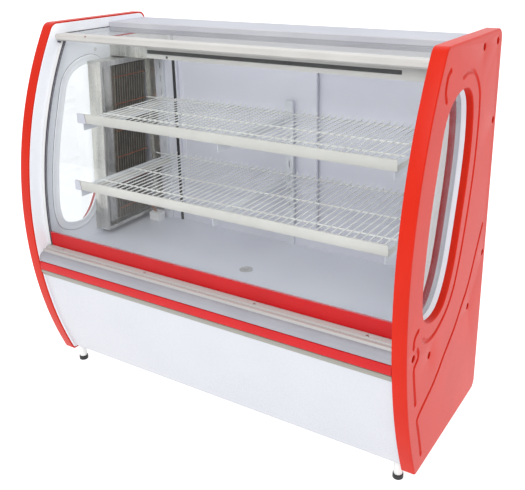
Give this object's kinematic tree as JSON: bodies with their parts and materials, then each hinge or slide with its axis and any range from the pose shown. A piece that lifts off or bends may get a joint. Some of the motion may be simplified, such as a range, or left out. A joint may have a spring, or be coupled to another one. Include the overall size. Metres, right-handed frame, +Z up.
{
  "type": "bakery display case",
  "caption": "Refrigerated bakery display case with curved front glass, moulded end panels with egg-shaped windows, wire shelves and rear sliding doors.",
  "frame": {"origin": "middle of the case at floor level, centred between the end panels and between the front bulge and the rear edge", "axes": "+X to the customer's right along the case, +Y to the rear with the sliding doors, +Z up"},
  "size_m": [1.4, 0.64, 1.24],
  "materials": {
    "red_shell": "moulded, fine grain, semi-gloss",
    "foam": "polyurethane foam",
    "white_liner": "white, smooth",
    "clear_glass": "tempered, clear",
    "off_white_trim": "satin",
    "zinc_screw": "zinc plated",
    "satin_aluminium": "satin anodised",
    "beige_aluminium": "champagne anodised",
    "black_rubber": "matte",
    "white_sheet": "powder coated, gloss white",
    "grey_sheet": "powder coated, satin light grey",
    "lamp_white": "opal diffuser",
    "red_strip": "extruded vinyl",
    "stainless": "brushed",
    "coil_fins": "dull, dark with age",
    "door_panel": "satin white vinyl",
    "shelf_white": "powder coated, off-white",
    "white_plastic": "satin",
    "brown_cable": "brown sheath",
    "galvanised": "galvanised",
    "black_enamel": "gloss black enamel",
    "dark_plastic": "moulded"
  },
  "bodies": {
    "cabinet": {"left_outer_shell": "red_shell", "right_outer_shell": "red_shell", "left_foam_core": "foam", "right_foam_core": "foam", "left_liner": "white_liner", "right_liner": "white_liner", "left_window_glass": "clear_glass", "right_window_glass": "clear_glass", "left_window_ring": "off_white_trim", "right_window_ring": "off_white_trim", "panel_screws": "zinc_screw", "front_glass": "clear_glass", "glass_edge_trims": "beige_aluminium", "glass_edge_gaskets": "black_rubber", "front_top_bar": "satin_aluminium", "top_bar_end_gaskets": "black_rubber", "top_glass": "clear_glass", "rear_top_rail": "satin_aluminium", "top_deck": "grey_sheet", "lamp_housing": "white_sheet", "lamp_tube": "lamp_white", "bumper_profile": "satin_aluminium", "bumper_strip": "red_strip", "bumper_screws": "zinc_screw", "front_apron": "white_sheet", "insulated_tub": "white_sheet", "floor_deck": "grey_sheet", "rear_fixed_panel": "door_panel", "door_frame": "door_panel", "door_jamb_seals": "black_rubber", "shelf_uprights": "shelf_white", "shelf_brackets": "shelf_white", "evaporator_cover": "stainless", "evaporator_coil": "coil_fins", "evaporator_plenum": "stainless", "evaporator_motor": "galvanised", "junction_box": "white_plastic", "evaporator_lead": "brown_cable", "base_frame": "galvanised", "compressor": "black_enamel", "condenser_coil": "coil_fins", "condenser_shroud": "galvanised", "rear_grille": "grey_sheet", "cable_inlet": "dark_plastic", "leg_tubes": "white_plastic"},
    "left_sliding_door": {"left_door": "door_panel", "left_door_pull": "satin_aluminium"},
    "right_sliding_door": {"right_door": "door_panel", "right_door_pull": "satin_aluminium"},
    "upper_shelf": {"upper_shelf": "shelf_white"},
    "lower_shelf": {"lower_shelf": "shelf_white"},
    "drain_strainer": {"drain_strainer": "stainless"},
    "evaporator_fan": {"evaporator_fan": "dark_plastic"},
    "condenser_fan": {"condenser_fan": "dark_plastic"},
    "thermostat_knob": {"thermostat_knob": "dark_plastic"},
    "light_switch": {"light_switch": "dark_plastic"},
    "front_left_foot": {"front_left_foot": "dark_plastic"},
    "front_right_foot": {"front_right_foot": "dark_plastic"},
    "rear_left_foot": {"rear_left_foot": "dark_plastic"},
    "rear_right_foot": {"rear_right_foot": "dark_plastic"}
  },
  "joints": [
    {"name": "left_door_slide", "type": "slide", "parent": "cabinet", "child": "left_sliding_door", "axis": [1, 0, 0], "range_m": [0, 0.5]},
    {"name": "right_door_slide", "type": "slide", "parent": "cabinet", "child": "right_sliding_door", "axis": [-1, 0, 0], "range_m": [0, 0.5]},
    {"name": "upper_shelf_lift", "type": "slide", "parent": "cabinet", "child": "upper_shelf", "axis": [0, 0, 1], "range_m": [0, 0.1]},
    {"name": "lower_shelf_lift", "type": "slide", "parent": "cabinet", "child": "lower_shelf", "axis": [0, 0, 1], "range_m": [0, 0.1]},
    {"name": "drain_strainer_lift", "type": "slide", "parent": "cabinet", "child": "drain_strainer", "axis": [0, 0, 1], "range_m": [0, 0.03]},
    {"name": "evaporator_fan_spin", "type": "hinge", "parent": "cabinet", "child": "evaporator_fan", "pos_m": [-0.598, 0.18, 1.114], "axis": [0, 0, 1], "continuous": true},
    {"name": "condenser_fan_spin", "type": "hinge", "parent": "cabinet", "child": "condenser_fan", "pos_m": [0.082, 0.061, 0.23], "axis": [1, 0, 0], "continuous": true},
    {"name": "thermostat_turn", "type": "hinge", "parent": "cabinet", "child": "thermostat_knob", "pos_m": [0.42, 0.316, 0.33], "axis": [0, -1, 0], "range_deg": [0, 270]},
    {"name": "light_switch_rock", "type": "hinge", "parent": "cabinet", "child": "light_switch", "pos_m": [0.5, 0.308, 0.33], "axis": [1, 0, 0], "range_deg": [0, 14]},
    {"name": "front_left_foot_screw", "type": "slide", "parent": "cabinet", "child": "front_left_foot", "axis": [0, 0, -1], "range_m": [0, 0.02]},
    {"name": "front_right_foot_screw", "type": "slide", "parent": "cabinet", "child": "front_right_foot", "axis": [0, 0, -1], "range_m": [0, 0.02]},
    {"name": "rear_left_foot_screw", "type": "slide", "parent": "cabinet", "child": "rear_left_foot", "axis": [0, 0, -1], "range_m": [0, 0.02]},
    {"name": "rear_right_foot_screw", "type": "slide", "parent": "cabinet", "child": "rear_right_foot", "axis": [0, 0, -1], "range_m": [0, 0.02]}
  ]
}
